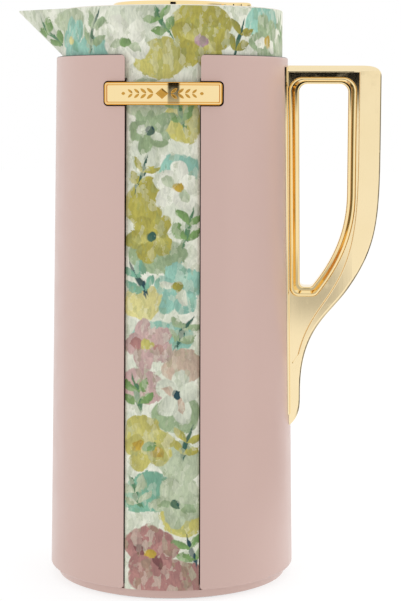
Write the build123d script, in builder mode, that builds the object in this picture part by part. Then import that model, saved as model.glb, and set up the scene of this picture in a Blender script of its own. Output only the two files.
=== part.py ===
from build123d import *
import math
import os

# A 1 litre vacuum pouring jug. Millimetres, +Z up, origin on the body's axis in the plane it stands on.
# The spout points to -X, the handle to +X, and the front strip and nameplate face -Y.

# ---- driving dimensions -------------------------------------------------------------------------
SHELL_Z0, SHELL_Z1 = 5.7, 268.6         # lower and upper ends of the side shells
SHELL_R0, SHELL_R1 = 63.5, 59.2         # their outer radii there
SHELL_WALL = 2.4
HEAD_R = 56.35                          # outside of the head cylinder
RIM_Z = 292.3                           # rim of the head
STRIP_R0 = 63.2                         # outside of the strip at the foot, almost flush with the shells
STRIP_WALL = 2.0
STRIP_HALF0, STRIP_HALF1 = 18.45, 17.8  # half width of the strip at foot and top
SLOT_GAP = 0.65                         # dark line each side of the strip
CASING_WALL = 1.8
FIT = 0.1                               # gap between pieces that stay together
RUN = 0.07                              # radial clearance of a running fit

BADGE_Z0, BADGE_Z1 = 244.2, 255.2
BADGE_HALF = 28.7
BADGE_R = 60.9

SPOUT_TIP_X = -79.1
SPOUT_SLOPE = 0.98                      # drop of the beak's keel per mm away from the tip
SPOUT_SPREAD = 0.77                     # half width of the beak per mm away from the tip

COLLAR_R = 28.2                         # bore that takes the stopper's plug
COLLAR_Z0, COLLAR_Z1 = 256.0, 268.0
BOWL_R = 52.4                           # inside of the pouring bowl
LIP_Z = 251.0                           # top of the glass neck
GLASS_R = 48.5                          # outside of the refill
NECK_R = 21.5                           # bore of its neck
GLASS_WALL = 1.8
VACUUM_GAP = 2.6

PLUG_R = 27.5                           # stopper plug
DECK_R = 51.5                           # stopper cover
DECK_Z0, DECK_Z1 = 282.2, 291.7
WELL_Z = 284.2                          # floor of the well under the lever plate
PLATE_R = 30.3                          # lever plate
PLATE_Z0, PLATE_Z1 = 292.7, 295.9
TAB_X, TAB_HALF = 40.5, 11.0
PIN_X, PIN_Z, PIN_R = -24.0, 289.3, 1.5
STEM_R = 2.5
SPRING_Z0, SPRING_Z1 = 264.0, 279.0

HANDLE_HALF = 9.5                       # half thickness of the handle
HANDLE_TOP = 264.6
TAIL_Z = 79.4                           # tip of the handle's tail
HANDLE_X = 106.8                        # outermost face of the grip
WEB_HALF = 6.4                          # half thickness of the recessed web
BAND_FALL = 0.6                         # how much thinner the grip band is at its outer edge
CREASE_X = 93.0                         # where that fall begins
EDGE_R, RIM_R = 1.6, 0.7                # rounding of the handle's outer edges and of the recess's rim
FLANGE_HALF, FLANGE_THICK = 12.5, 0.8   # thin flange where the handle lies on the jug
FLANGE_Z0, FLANGE_Z1 = 86.0, 263.6
BEVEL_Y, BEVEL_FALL = 3.5, 3.1          # where the bevel of the top bar begins, and its drop
FINGER_X0, FINGER_X1 = 65.1, 90.1       # finger hole, at its top
FINGER_Z0, FINGER_Z1 = 151.6, 255.3
RING_LEFT, RING_RIGHT, RING_BELOW = 5.4, 4.4, 4.9   # width of the ring round it, side by side
RING_TOP = 258.7
SCREW_R = 1.5
SCREW_END = 70.0                        # how far the handle screws reach along X
HANDLE_SCREWS = [(-3.4, 261.5), (3.4, 261.5), (0.0, 140.0), (0.0, 126.0)]  # (y, z)

os.makedirs("parts", exist_ok=True)


# ---- shared geometry ----------------------------------------------------------------------------
def between(z, z0, r0, z1, r1):
    """Radius at height z on the cone through (r0, z0) and (r1, z1)."""
    return r0 + (r1 - r0) * (z - z0) / (z1 - z0)


def shell_r(z):
    return between(z, SHELL_Z0, SHELL_R0, SHELL_Z1, SHELL_R1)


def strip_r(z):
    return between(z, SHELL_Z0, STRIP_R0, SHELL_Z1, HEAD_R)


def casing_r(z):
    return strip_r(z) - STRIP_WALL - FIT


def turned(points, mode=Mode.ADD):
    """Solid of revolution about Z from a closed (radius, height) outline."""
    with BuildSketch(Plane.XZ) as outline:
        with BuildLine():
            Polyline(*points, close=True)
        make_face()
    revolve(outline.sketch, axis=Axis.Z, mode=mode)


def ring(r_in, r_out, z0, z1, mode=Mode.ADD):
    with BuildSketch(Plane.XY.offset(z0)) as outline:
        Circle(r_out)
        if r_in > 0:
            Circle(r_in, mode=Mode.SUBTRACT)
    extrude(outline.sketch, amount=z1 - z0, mode=mode)


def slab(points, half, mode=Mode.ADD):
    """Prism along Y, half each side of the XZ plane, from a closed (x, z) outline."""
    with BuildSketch(Plane.XZ) as outline:
        with BuildLine():
            Polyline(*points, close=True)
        make_face()
    extrude(outline.sketch, amount=half, both=True, mode=mode)


def block(x0, x1, y0, y1, z0, z1, mode=Mode.ADD):
    with Locations(((x0 + x1) / 2, (y0 + y1) / 2, (z0 + z1) / 2)):
        Box(x1 - x0, y1 - y0, z1 - z0, mode=mode)


def rod_x(y, z, r, x0, x1, mode=Mode.ADD):
    with BuildSketch(Plane.YZ.offset(x0)) as outline:
        with Locations((y, z)):
            Circle(r)
    extrude(outline.sketch, amount=x1 - x0, mode=mode)


def save(builder, name):
    builder.part.label = name
    export_step(builder.part, "parts/" + name + ".step")


# ---- head: cylinder, beak spout and the two strips, one moulding ---------------------------------
HEAD_WALL = 2.1
HEAD_Z0 = 257.3
STRIP_Z0 = SHELL_Z0 + 0.2


def beak(tip_x, inset, mode):
    """Half an elliptic cone lying on its side, open upwards at the rim plane."""
    tip_size = 0.8
    root_x = -46.0
    with BuildSketch(Plane.YZ.offset(tip_x)) as tip:
        with Locations((0, RIM_Z)):
            Ellipse(tip_size * SPOUT_SPREAD, tip_size * SPOUT_SLOPE)
    reach = root_x - tip_x + tip_size
    with BuildSketch(Plane.YZ.offset(root_x)) as root:
        with Locations((0, RIM_Z)):
            Ellipse(reach * SPOUT_SPREAD, reach * SPOUT_SLOPE - inset)
    loft([tip.sketch, root.sketch], ruled=True, mode=mode)


with BuildPart() as spout_outer:
    beak(SPOUT_TIP_X, 0.0, Mode.ADD)
    block(-90, 0, -50, 50, RIM_Z, RIM_Z + 50, Mode.SUBTRACT)
    ring(0, HEAD_R - 0.5, 200, 330, Mode.SUBTRACT)

with BuildPart() as spout_inner:
    beak(SPOUT_TIP_X + 2.6, 0.4, Mode.ADD)

with BuildPart() as head:
    turned([
        (strip_r(STRIP_Z0), STRIP_Z0),
        (strip_r(SHELL_Z1), SHELL_Z1),
        (HEAD_R - STRIP_WALL, SHELL_Z1),
        (strip_r(STRIP_Z0) - STRIP_WALL, STRIP_Z0),
    ])
    slab([
        (-STRIP_HALF0, 0),
        (STRIP_HALF0, 0),
        (STRIP_HALF1, SHELL_Z1 + 1),
        (-STRIP_HALF1, SHELL_Z1 + 1),
    ], 90, Mode.INTERSECT)
    edge_bevel = head.edges().filter_by(lambda e: e.length > 200)
    edge_bevel = edge_bevel.filter_by(lambda e: math.hypot(e.center().X, e.center().Y) > strip_r(137) - 0.6)
    chamfer(edge_bevel, length=0.4, length2=1.1)
    ring(HEAD_R - HEAD_WALL, HEAD_R, HEAD_Z0, RIM_Z)
    add(spout_outer.part)
    add(spout_inner.part, mode=Mode.SUBTRACT)
    rim_edges = head.edges().filter_by(GeomType.CIRCLE).filter_by_position(Axis.Z, RIM_Z - 0.01, RIM_Z + 0.01)
    fillet(rim_edges.sort_by(SortBy.RADIUS)[-1:], radius=0.9)
    for screw_y, screw_z in HANDLE_SCREWS:
        if screw_z > 250:
            rod_x(screw_y, screw_z, SCREW_R + 0.2, 40, 80, Mode.SUBTRACT)
save(head, "head")

# ---- side shells --------------------------------------------------------------------------------
CORNER = 2.3
FLANGE = 2.0
slot0 = STRIP_HALF0 + SLOT_GAP
slot1 = STRIP_HALF1 + SLOT_GAP
RECESS_GAP = 0.6

with BuildPart() as shells:
    turned([
        (shell_r(SHELL_Z0) - 4.2, SHELL_Z0),
        (shell_r(SHELL_Z0), SHELL_Z0),
        (SHELL_R1, SHELL_Z1),
        (HEAD_R + 0.4, SHELL_Z1),
        (HEAD_R + 0.4, SHELL_Z1 - FLANGE),
        (shell_r(SHELL_Z1 - FLANGE) - SHELL_WALL, SHELL_Z1 - FLANGE),
        (shell_r(SHELL_Z0 + FLANGE) - SHELL_WALL, SHELL_Z0 + FLANGE),
        (shell_r(SHELL_Z0) - 4.2 + 0.05, SHELL_Z0 + FLANGE),
    ])
    outer_rims = shells.edges().filter_by(GeomType.CIRCLE).sort_by(SortBy.RADIUS)
    top_rim = outer_rims.filter_by_position(Axis.Z, SHELL_Z1 - 0.01, SHELL_Z1 + 0.01)[-1]
    fillet([top_rim, outer_rims[-1]], radius=1.0)
    with BuildSketch(Plane.XZ) as slot:
        with BuildLine():
            Polyline(
                (-75, SHELL_Z0 - 20),
                (75, SHELL_Z0 - 20),
                (75, SHELL_Z0),
                (slot0, SHELL_Z0),
                (slot1, SHELL_Z1),
                (75, SHELL_Z1),
                (75, SHELL_Z1 + 20),
                (-75, SHELL_Z1 + 20),
                (-75, SHELL_Z1),
                (-slot1, SHELL_Z1),
                (-slot0, SHELL_Z0),
                (-75, SHELL_Z0),
                close=True,
            )
        make_face()
        corners = slot.vertices().filter_by(lambda v: 10 < abs(v.X) < 30)
        fillet(corners, radius=CORNER)
    extrude(slot.sketch, amount=90, both=True, mode=Mode.SUBTRACT)
    with BuildSketch(Plane.XZ) as badge_recess:
        with Locations((0, (BADGE_Z0 + BADGE_Z1) / 2)):
            RectangleRounded(
                2 * (BADGE_HALF + RECESS_GAP),
                BADGE_Z1 - BADGE_Z0 + 2 * RECESS_GAP,
                2.2,
            )
    extrude(badge_recess.sketch, amount=90, mode=Mode.SUBTRACT)
with BuildPart() as side_shell_spout:
    add(shells.part)
    block(0, 90, -90, 90, 0, 300, Mode.SUBTRACT)
save(side_shell_spout, "side_shell_spout")

with BuildPart() as side_shell_handle:
    add(shells.part)
    block(-90, 0, -90, 90, 0, 300, Mode.SUBTRACT)
    for screw_y, screw_z in HANDLE_SCREWS:
        rod_x(screw_y, screw_z, SCREW_R + 0.2, 40, 80, Mode.SUBTRACT)
save(side_shell_handle, "side_shell_handle")

# ---- inner casing -------------------------------------------------------------------------------
CASING_Z0, CASING_Z1 = 8.0, 257.0
with BuildPart() as inner_casing:
    turned([
        (casing_r(CASING_Z0) - CASING_WALL, CASING_Z0),
        (casing_r(CASING_Z0), CASING_Z0),
        (casing_r(CASING_Z1), CASING_Z1),
        (casing_r(CASING_Z1) - CASING_WALL, CASING_Z1),
    ])
    for screw_y, screw_z in HANDLE_SCREWS:
        if screw_z < 250:
            rod_x(screw_y, screw_z, SCREW_R + 0.2, 40, 80, Mode.SUBTRACT)
save(inner_casing, "inner_casing")


# ---- nameplate ----------------------------------------------------------------------------------
BADGE_MID = (BADGE_Z0 + BADGE_Z1) / 2
BADGE_HIGH = BADGE_Z1 - BADGE_Z0
BORDER = 1.15                           # width of the raised border
SUNK = 0.35                             # depth of the panel inside it


def arc_plate(r_in, r_out, half, high, corner, mode=Mode.ADD):
    """Plate curved about Z, centred on the front, with a rounded rectangular outline."""
    with BuildPart(mode=Mode.PRIVATE) as plate:
        ring(r_in, r_out, BADGE_Z0 - 5, BADGE_Z1 + 5)
        with BuildSketch(Plane.XZ) as outline:
            with Locations((0, BADGE_MID)):
                RectangleRounded(2 * half, high, corner)
        extrude(outline.sketch, amount=90, mode=Mode.INTERSECT)
    add(plate.part, mode=mode)


def on_front(edge):
    """True for an edge that lies on the nameplate's outer face."""
    points = [edge @ t for t in (0.0, 0.5, 1.0)]
    return all(abs(math.hypot(p.X, p.Y) - BADGE_R) < 0.01 for p in points)


with BuildPart() as badge:
    arc_plate(BADGE_R - 1.5, BADGE_R, BADGE_HALF, BADGE_HIGH, 1.9)
    fillet(badge.edges().filter_by(on_front), radius=0.45)
    arc_plate(BADGE_R - SUNK, BADGE_R + 1, BADGE_HALF - BORDER, BADGE_HIGH - 2 * BORDER, 1.1, Mode.SUBTRACT)
save(badge, "badge")

with BuildPart() as badge_bracket:
    arc_plate(HEAD_R + 1.25, BADGE_R - 1.5, BADGE_HALF - 1.6, BADGE_HIGH - 2.4, 1.5)
save(badge_bracket, "badge_bracket")

# ---- foot, base cover and the refill's seat -----------------------------------------------------
FOOT_R0, FOOT_R1 = 59.3, 60.4
with BuildPart() as foot_ring:
    turned([
        (50.0, 0.6),
        (57.9, 0.6),
        (FOOT_R0, 1.2),
        (FOOT_R1, 5.1),
        (59.0, 5.1),
        (59.0, 7.8),
        (casing_r(CASING_Z0) - CASING_WALL - 0.4, 7.8),
        (casing_r(CASING_Z0) - CASING_WALL - 0.4, 20.0),
        (56.2, 20.0),
        (56.2, 5.6),
        (50.0, 5.6),
    ])
    ring(54.0, 56.6, 0.0, 1.8, Mode.SUBTRACT)
save(foot_ring, "foot_ring")

with BuildPart() as rubber_foot:
    ring(54.05, 56.55, 0.0, 1.75)
    foot_edge = rubber_foot.edges().filter_by(GeomType.CIRCLE).group_by(Axis.Z)[0]
    fillet(foot_edge, radius=0.5)
save(rubber_foot, "rubber_foot")

BASE_R = 49.9
with BuildPart() as base_cover:
    ring(0, BASE_R, 2.6, 4.8)
    ring(44.0, 46.4, 4.8, 10.0)
    ring(24.2, 26.8, 4.8, 12.0)
    ring(0, 24.2, 2.6, 4.8, Mode.SUBTRACT)
    with PolarLocations(36.0, 8):
        with Locations((0, 0, 6.6)):
            Box(15.0, 1.6, 3.6)
    with PolarLocations(35.0, 3):
        with Locations((0, 0, 2.6)):
            Box(9.0, 3.0, 1.6, mode=Mode.SUBTRACT)
save(base_cover, "base_cover")

with BuildPart() as adjusting_disc:
    ring(0, 24.1, 3.2, 14.0)
    ring(0, 21.0, 6.0, 14.0, Mode.SUBTRACT)
    with Locations((0, 0, 3.2)):
        Box(30.0, 3.0, 2.4, mode=Mode.SUBTRACT)
save(adjusting_disc, "adjusting_disc")

SEAT_Z = 14.1
GLASS_Z0 = 18.0
GLASS_CORNER = 22.0                     # rounding of the refill's floor
SEAT_R = 44.0
corner_x = GLASS_R - GLASS_CORNER
cup_r = GLASS_CORNER + FIT
seat_top = GLASS_Z0 + GLASS_CORNER - math.sqrt(cup_r**2 - (SEAT_R - corner_x) ** 2)
with BuildPart() as refill_seat:
    with BuildSketch(Plane.XZ) as seat_half:
        with BuildLine():
            Polyline((corner_x, GLASS_Z0 - FIT), (0, GLASS_Z0 - FIT), (0, SEAT_Z), (32.0, SEAT_Z))
            Polyline((32.0, SEAT_Z), (SEAT_R, 21.0), (SEAT_R, seat_top))
            RadiusArc((SEAT_R, seat_top), (corner_x, GLASS_Z0 - FIT), cup_r)
        make_face()
    revolve(seat_half.sketch, axis=Axis.Z)
save(refill_seat, "refill_seat")

# ---- refill: two glasses fused at the lip -------------------------------------------------------
SHOULDER_Z = 208.0
NECK_Z = 232.0


def bottle(r_body, r_neck, z_floor, corner, shoulder, neck_z, lip_z):
    """Closed half outline of a solid bottle: floor, rounded corner, wall, shoulder curve and neck."""
    with BuildSketch(Plane.XZ) as outline:
        with BuildLine():
            Polyline((0, lip_z), (0, z_floor), (r_body - corner, z_floor))
            RadiusArc((r_body - corner, z_floor), (r_body, z_floor + corner), -corner)
            Line((r_body, z_floor + corner), (r_body, shoulder))
            Spline(
                (r_body, shoulder),
                (r_neck, neck_z),
                tangents=[(0, 1), (0, 1)],
                tangent_scalars=[1.1, 1.1],
            )
            Polyline((r_neck, neck_z), (r_neck, lip_z), (0, lip_z))
        make_face()
    return revolve(outline.sketch, axis=Axis.Z, mode=Mode.PRIVATE)


inner_body_r = GLASS_R - GLASS_WALL - VACUUM_GAP
inner_neck_r = NECK_R + GLASS_WALL
outer_neck_r = inner_neck_r + 0.9 + GLASS_WALL
with BuildPart() as refill_outer_glass:
    add(bottle(GLASS_R, outer_neck_r, GLASS_Z0, GLASS_CORNER, SHOULDER_Z, NECK_Z, LIP_Z))
    add(bottle(
        GLASS_R - GLASS_WALL,
        outer_neck_r - GLASS_WALL,
        GLASS_Z0 + GLASS_WALL,
        GLASS_CORNER - GLASS_WALL,
        SHOULDER_Z - 0.6,
        NECK_Z - 0.6,
        LIP_Z,
    ), mode=Mode.SUBTRACT)
save(refill_outer_glass, "refill_outer_glass")

inner_corner = GLASS_CORNER - GLASS_WALL - VACUUM_GAP
inner_floor = GLASS_Z0 + GLASS_WALL + VACUUM_GAP + 1.0
with BuildPart() as refill_inner_glass:
    add(bottle(inner_body_r, inner_neck_r, inner_floor, inner_corner, SHOULDER_Z - 2.2, NECK_Z - 2.2, LIP_Z))
    ring(0, outer_neck_r - GLASS_WALL - 0.02, LIP_Z - 1.6, LIP_Z)
    add(bottle(
        inner_body_r - GLASS_WALL,
        NECK_R,
        inner_floor + GLASS_WALL,
        inner_corner - GLASS_WALL,
        SHOULDER_Z - 2.8,
        NECK_Z - 2.8,
        LIP_Z,
    ), mode=Mode.SUBTRACT)
save(refill_inner_glass, "refill_inner_glass")

with BuildPart() as glass_spacer_pads:
    with PolarLocations((inner_body_r + GLASS_R - GLASS_WALL) / 2, 3, start_angle=30):
        with Locations((0, 0, 46.0)):
            Cylinder(4.0, VACUUM_GAP - 0.9, rotation=(0, 90, 0))
save(glass_spacer_pads, "glass_spacer_pads")

with BuildPart() as side_buffers:
    ring(GLASS_R + 0.15, casing_r(182) - CASING_WALL - 0.1, 166, 182)
    with BuildPart(mode=Mode.PRIVATE) as buffer_sectors:
        with PolarLocations(50, 4, start_angle=45):
            with Locations((0, 0, 174)):
                Box(30, 18, 20)
    add(buffer_sectors.part, mode=Mode.INTERSECT)
save(side_buffers, "side_buffers")

# ---- pouring bowl, its gasket and screws --------------------------------------------------------
BOWL_WALL_R = HEAD_R - HEAD_WALL - FIT
BOWL_Z0, BOWL_Z1 = 266.0, 290.6
with BuildPart() as pouring_bowl:
    turned([
        (NECK_R + 1.5, COLLAR_Z0 - 2.0),
        (COLLAR_R + 2.2, COLLAR_Z0 - 2.0),
        (COLLAR_R + 2.2, BOWL_Z0),
        (BOWL_WALL_R, BOWL_Z0),
        (BOWL_WALL_R, BOWL_Z1),
        (BOWL_R, BOWL_Z1),
        (BOWL_R, COLLAR_Z1 + 1.6),
        (COLLAR_R + 2.0, COLLAR_Z1),
        (COLLAR_R, COLLAR_Z1),
        (COLLAR_R, COLLAR_Z0),
        (NECK_R + 1.5, COLLAR_Z0),
    ])
    ring(outer_neck_r + 1.2, outer_neck_r + 3.0, 238.0, COLLAR_Z0 - 2.0)
    add(spout_inner.part, mode=Mode.SUBTRACT)
save(pouring_bowl, "pouring_bowl")

with BuildPart() as neck_gasket:
    ring(NECK_R + 1.6, outer_neck_r + 1.0, LIP_Z + 0.02, COLLAR_Z0 - 2.02)
    ring(outer_neck_r + 0.1, outer_neck_r + 1.0, LIP_Z - 4.0, LIP_Z + 0.1)
save(neck_gasket, "neck_gasket")


# ---- stopper: plug, seal, stem guide ------------------------------------------------------------
PLUG_Z0 = COLLAR_Z0 + 0.5
PLUG_BORE = 24.3
VALVE_HOLE = 12.0
SEAL_Z0, SEAL_Z1 = 260.5, 264.5
SEAL_GROOVE_R = 26.0
WINDOW_Z0, WINDOW_Z1 = 269.5, 280.5
with BuildPart() as stopper_body:
    ring(PLUG_BORE, PLUG_R, PLUG_Z0, DECK_Z0 - 0.05)
    ring(VALVE_HOLE, PLUG_R, PLUG_Z0, PLUG_Z0 + 2.0)
    ring(SEAL_GROOVE_R, PLUG_R + 1, SEAL_Z0, SEAL_Z1, Mode.SUBTRACT)
    with PolarLocations(PLUG_R - 2, 6):
        with Locations((0, 0, (WINDOW_Z0 + WINDOW_Z1) / 2)):
            Box(10, 17, WINDOW_Z1 - WINDOW_Z0, mode=Mode.SUBTRACT)
save(stopper_body, "stopper_body")

with BuildPart() as lip_seal:
    turned([
        (SEAL_GROOVE_R + RUN, SEAL_Z0 + 0.1),
        (PLUG_R - 0.2, SEAL_Z0 + 0.1),
        (COLLAR_R - RUN, SEAL_Z0 + 0.8),
        (COLLAR_R - RUN, SEAL_Z0 + 1.4),
        (PLUG_R - 0.2, SEAL_Z0 + 2.0),
        (COLLAR_R - RUN, SEAL_Z0 + 2.6),
        (COLLAR_R - RUN, SEAL_Z0 + 3.2),
        (PLUG_R - 0.2, SEAL_Z1 - 0.1),
        (SEAL_GROOVE_R + RUN, SEAL_Z1 - 0.1),
    ])
save(lip_seal, "lip_seal")

GUIDE_Z0 = SPRING_Z0 - 2.4
with BuildPart() as stem_guide:
    ring(PLUG_BORE - 2.2, PLUG_BORE - 0.05, GUIDE_Z0, SPRING_Z0)
    ring(0, 6.0, GUIDE_Z0 - 2.0, SPRING_Z0)
    with PolarLocations(13.5, 3):
        with Locations((0, 0, (GUIDE_Z0 + SPRING_Z0) / 2)):
            Box(19, 2.4, SPRING_Z0 - GUIDE_Z0)
    ring(0, STEM_R + RUN, GUIDE_Z0 - 5, SPRING_Z0 + 5, Mode.SUBTRACT)
save(stem_guide, "stem_guide")


# ---- stopper deck with the well for the lever ---------------------------------------------------
def plate_outline(grow):
    """Round plate with a thumb tab towards the handle, widened all round by grow."""
    with BuildSketch(mode=Mode.PRIVATE) as outline:
        Circle(PLATE_R + grow)
        with Locations((TAB_X / 2, 0)):
            Rectangle(TAB_X + 2 * grow, 2 * (TAB_HALF + grow))
        tab_end = outline.vertices().group_by(Axis.X)[-1]
        fillet(tab_end, radius=5.0)
        roots = outline.vertices().filter_by(lambda v: 20 < v.X < PLATE_R + grow)
        roots = roots.filter_by(lambda v: abs(math.hypot(v.X, v.Y) - PLATE_R - grow) < 0.01)
        fillet(roots, radius=6.0)
    return outline.sketch


def extrude_flat(face, z0, z1, mode=Mode.ADD):
    with BuildSketch(Plane.XY.offset(z0)) as outline:
        add(face)
    extrude(outline.sketch, amount=z1 - z0, mode=mode)


WELL_CLEARANCE = 1.2
DECK_TOP = 1.8                          # thickness of the deck's top
EAR_Y0, EAR_Y1 = 8.0, 11.0
with BuildPart() as deck_pocket:
    ring(PLATE_R + WELL_CLEARANCE + 2.0, DECK_R - DECK_TOP, DECK_Z0, DECK_Z1 - DECK_TOP)
    block(0, TAB_X + WELL_CLEARANCE + 1.8, -TAB_HALF - 3, TAB_HALF + 3, DECK_Z0, DECK_Z1, Mode.SUBTRACT)

with BuildPart() as stopper_deck:
    ring(0, DECK_R, DECK_Z0, DECK_Z1)
    deck_rim = stopper_deck.edges().filter_by(GeomType.CIRCLE).group_by(Axis.Z)[-1]
    fillet(deck_rim, radius=1.2)
    add(deck_pocket.part, mode=Mode.SUBTRACT)
    extrude_flat(plate_outline(WELL_CLEARANCE), WELL_Z, DECK_Z1, Mode.SUBTRACT)
    for side in (-1, 1):
        ear_y0, ear_y1 = sorted((side * EAR_Y0, side * EAR_Y1))
        block(PIN_X - 2.7, PIN_X + 2.7, ear_y0, ear_y1, WELL_Z, PIN_Z)
        with BuildSketch(Plane.XZ.offset(-ear_y1)) as ear_top:
            with Locations((PIN_X, PIN_Z)):
                Circle(2.7)
        extrude(ear_top.sketch, amount=EAR_Y1 - EAR_Y0)
    with BuildSketch(Plane.XZ) as pin_hole:
        with Locations((PIN_X, PIN_Z)):
            Circle(PIN_R)
    extrude(pin_hole.sketch, amount=EAR_Y1, both=True, mode=Mode.SUBTRACT)
    ring(0, STEM_R + RUN, DECK_Z0 - 1, WELL_Z + 1, Mode.SUBTRACT)
save(stopper_deck, "stopper_deck")

with BuildPart() as lever_pin:
    with BuildSketch(Plane.XZ) as pin_section:
        with Locations((PIN_X, PIN_Z)):
            Circle(PIN_R)
    extrude(pin_section.sketch, amount=EAR_Y1, both=True)
    chamfer(lever_pin.edges().filter_by(GeomType.CIRCLE), length=0.3)
save(lever_pin, "lever_pin")

# ---- lever plate --------------------------------------------------------------------------------
LUG_Y0, LUG_Y1 = 3.5, 7.4
LUG_R = 2.7
BOSS_GAP = 0.45
STEM_TOP = 291.6
with BuildPart() as lever_plate:
    extrude_flat(plate_outline(0.0), PLATE_Z0, PLATE_Z1)
    top_edges = lever_plate.edges().group_by(Axis.Z)[-1]
    fillet(top_edges, radius=1.1)
    ring(0, 4.0, STEM_TOP + BOSS_GAP, PLATE_Z0 + 0.5)
    for side in (-1, 1):
        lug_y0, lug_y1 = sorted((side * LUG_Y0, side * LUG_Y1))
        block(PIN_X - LUG_R, PIN_X + LUG_R, lug_y0, lug_y1, PIN_Z, PLATE_Z0 + 0.5)
        with BuildSketch(Plane.XZ.offset(-lug_y1)) as lug_end:
            with Locations((PIN_X, PIN_Z)):
                Circle(LUG_R)
        extrude(lug_end.sketch, amount=LUG_Y1 - LUG_Y0)
    with BuildSketch(Plane.XZ) as lug_hole:
        with Locations((PIN_X, PIN_Z)):
            Circle(PIN_R + RUN)
    extrude(lug_hole.sketch, amount=EAR_Y1, both=True, mode=Mode.SUBTRACT)
save(lever_plate, "lever_plate")

# ---- valve --------------------------------------------------------------------------------------
VALVE_Z = PLUG_Z0 - 0.1                 # top of the valve seal when shut
SEAL_THICK = 2.1
with BuildPart() as valve_stem:
    ring(0, STEM_R, VALVE_Z - SEAL_THICK - 1.8, STEM_TOP)
    chamfer(valve_stem.edges().filter_by(GeomType.CIRCLE).group_by(Axis.Z)[-1], length=0.9)
    ring(0, 9.0, VALVE_Z - SEAL_THICK - 1.8, VALVE_Z - SEAL_THICK)
save(valve_stem, "valve_stem")

with BuildPart() as valve_seal:
    turned([
        (STEM_R, VALVE_Z - SEAL_THICK),
        (13.0, VALVE_Z - SEAL_THICK),
        (14.6, VALVE_Z - 0.7),
        (14.6, VALVE_Z),
        (STEM_R, VALVE_Z),
    ])
save(valve_seal, "valve_seal")

with BuildPart() as stem_clip:
    ring(STEM_R, 6.2, SPRING_Z1, SPRING_Z1 + 1.2)
    block(1.2, 8.0, -1.6, 1.6, SPRING_Z1 - 1, SPRING_Z1 + 3, Mode.SUBTRACT)
save(stem_clip, "stem_clip")

SPRING_R, SPRING_WIRE, SPRING_TURNS = 4.4, 0.45, 6
with BuildPart() as valve_spring:
    with BuildLine():
        coil = Helix(
            pitch=(SPRING_Z1 - SPRING_Z0 - 2 * SPRING_WIRE - 0.1) / SPRING_TURNS,
            height=SPRING_Z1 - SPRING_Z0 - 2 * SPRING_WIRE - 0.1,
            radius=SPRING_R,
            center=(0, 0, SPRING_Z0 + SPRING_WIRE + 0.05),
        )
    with BuildSketch(Plane(origin=coil @ 0, z_dir=coil % 0)):
        Circle(SPRING_WIRE)
    sweep(is_frenet=True)
save(valve_spring, "valve_spring")

# ---- handle: frame with a recessed web, and the ring of the finger hole -------------------------
POCKET_TOP = 261.2
POCKET_X = 95.6                         # inner edge of the broad grip band


def outer_outline():
    """Side view of the whole handle, from inside the jug out to the grip and down to the tail's tip."""
    with BuildSketch(Plane.XZ) as outline:
        with BuildLine():
            Polyline((50.0, TAIL_Z - 2), (50.0, HANDLE_TOP), (97.0, HANDLE_TOP))
            Bezier((97.0, HANDLE_TOP), (101.5, HANDLE_TOP), (104.0, 263.9), (105.3, 262.6))
            Bezier((105.3, 262.6), (106.3, 261.6), (HANDLE_X, 260.6), (HANDLE_X, 259.2))
            Line((HANDLE_X, 259.2), (HANDLE_X, 222.0))
            Bezier((HANDLE_X, 222.0), (HANDLE_X, 184.5), (105.2, 171.3), (91.0, 150.7))
            Bezier((91.0, 150.7), (81.6, 137.06), (67.1, 130.2), (67.1, 98.0))
            Line((67.1, 98.0), (67.1, 92.8))
            Bezier((67.1, 92.8), (67.1, 86.5), (65.2, 80.6), (58.0, TAIL_Z - 2))
            Line((58.0, TAIL_Z - 2), (50.0, TAIL_Z - 2))
        make_face()
    return outline.sketch


def pocket_outline(grow=0.0):
    """Side view of the recess between the spine, the top bar and the grip band, widened by grow."""
    left, right, top = 59.6 - grow, POCKET_X + grow, POCKET_TOP + grow
    with BuildSketch(Plane.XZ) as outline:
        with BuildLine():
            Polyline((left + 1.9, 150.0), (left, top), (right, top), (right, 222.0))
            Bezier((right, 222.0), (right, 188.0), (94.4 + grow, 169.0), (83.0 + grow, 150.6 - grow))
            Bezier(
                (83.0 + grow, 150.6 - grow),
                (78.0 + grow, 141.9 - grow),
                (69.0 + grow, 133.0),
                (65.6 + grow, 116.0),
            )
            Polyline((65.6 + grow, 116.0), (63.0, 112.0 - 3 * grow), (left + 1.9, 150.0))
        make_face()
    return outline.sketch


def ring_outline(part, plane=Plane.XZ):
    """Side view between the finger hole, at part 0, and the outside of the ring round it, at part 1."""
    right = FINGER_X1 + RING_RIGHT * part
    left = FINGER_X0 - RING_LEFT * part
    top = FINGER_Z1 + (RING_TOP - FINGER_Z1) * part
    bottom = FINGER_Z0 - RING_BELOW * part
    sweep_x = 72.4 + 2.4 * part
    with BuildSketch(plane) as outline:
        with BuildLine():
            Polyline(
                (right, 200.0 - part),
                (right, top),
                (left, top),
                (left + 1.3 + 0.4 * part, bottom),
                (sweep_x, bottom),
            )
            Bezier(
                (sweep_x, bottom),
                (84.0 + 3.9 * part, 166.0 - 3.0 * part),
                (right, 181.0 - 1.5 * part),
                (right, 200.0 - part),
            )
        make_face()
        fillet(outline.vertices().group_by(Axis.Y)[-1], radius=4.2 + 3.0 * part)
        fillet(outline.vertices().group_by(Axis.Y)[0], radius=2.4 + 2.0 * part)
    return outline.sketch


with BuildPart() as jug_skin:
    turned([
        (0, 0),
        (between(0, SHELL_Z0, SHELL_R0, SHELL_Z1, SHELL_R1) + 0.03, 0),
        (between(300, SHELL_Z0, SHELL_R0, SHELL_Z1, SHELL_R1) + 0.03, 300),
        (0, 300),
    ])

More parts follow.
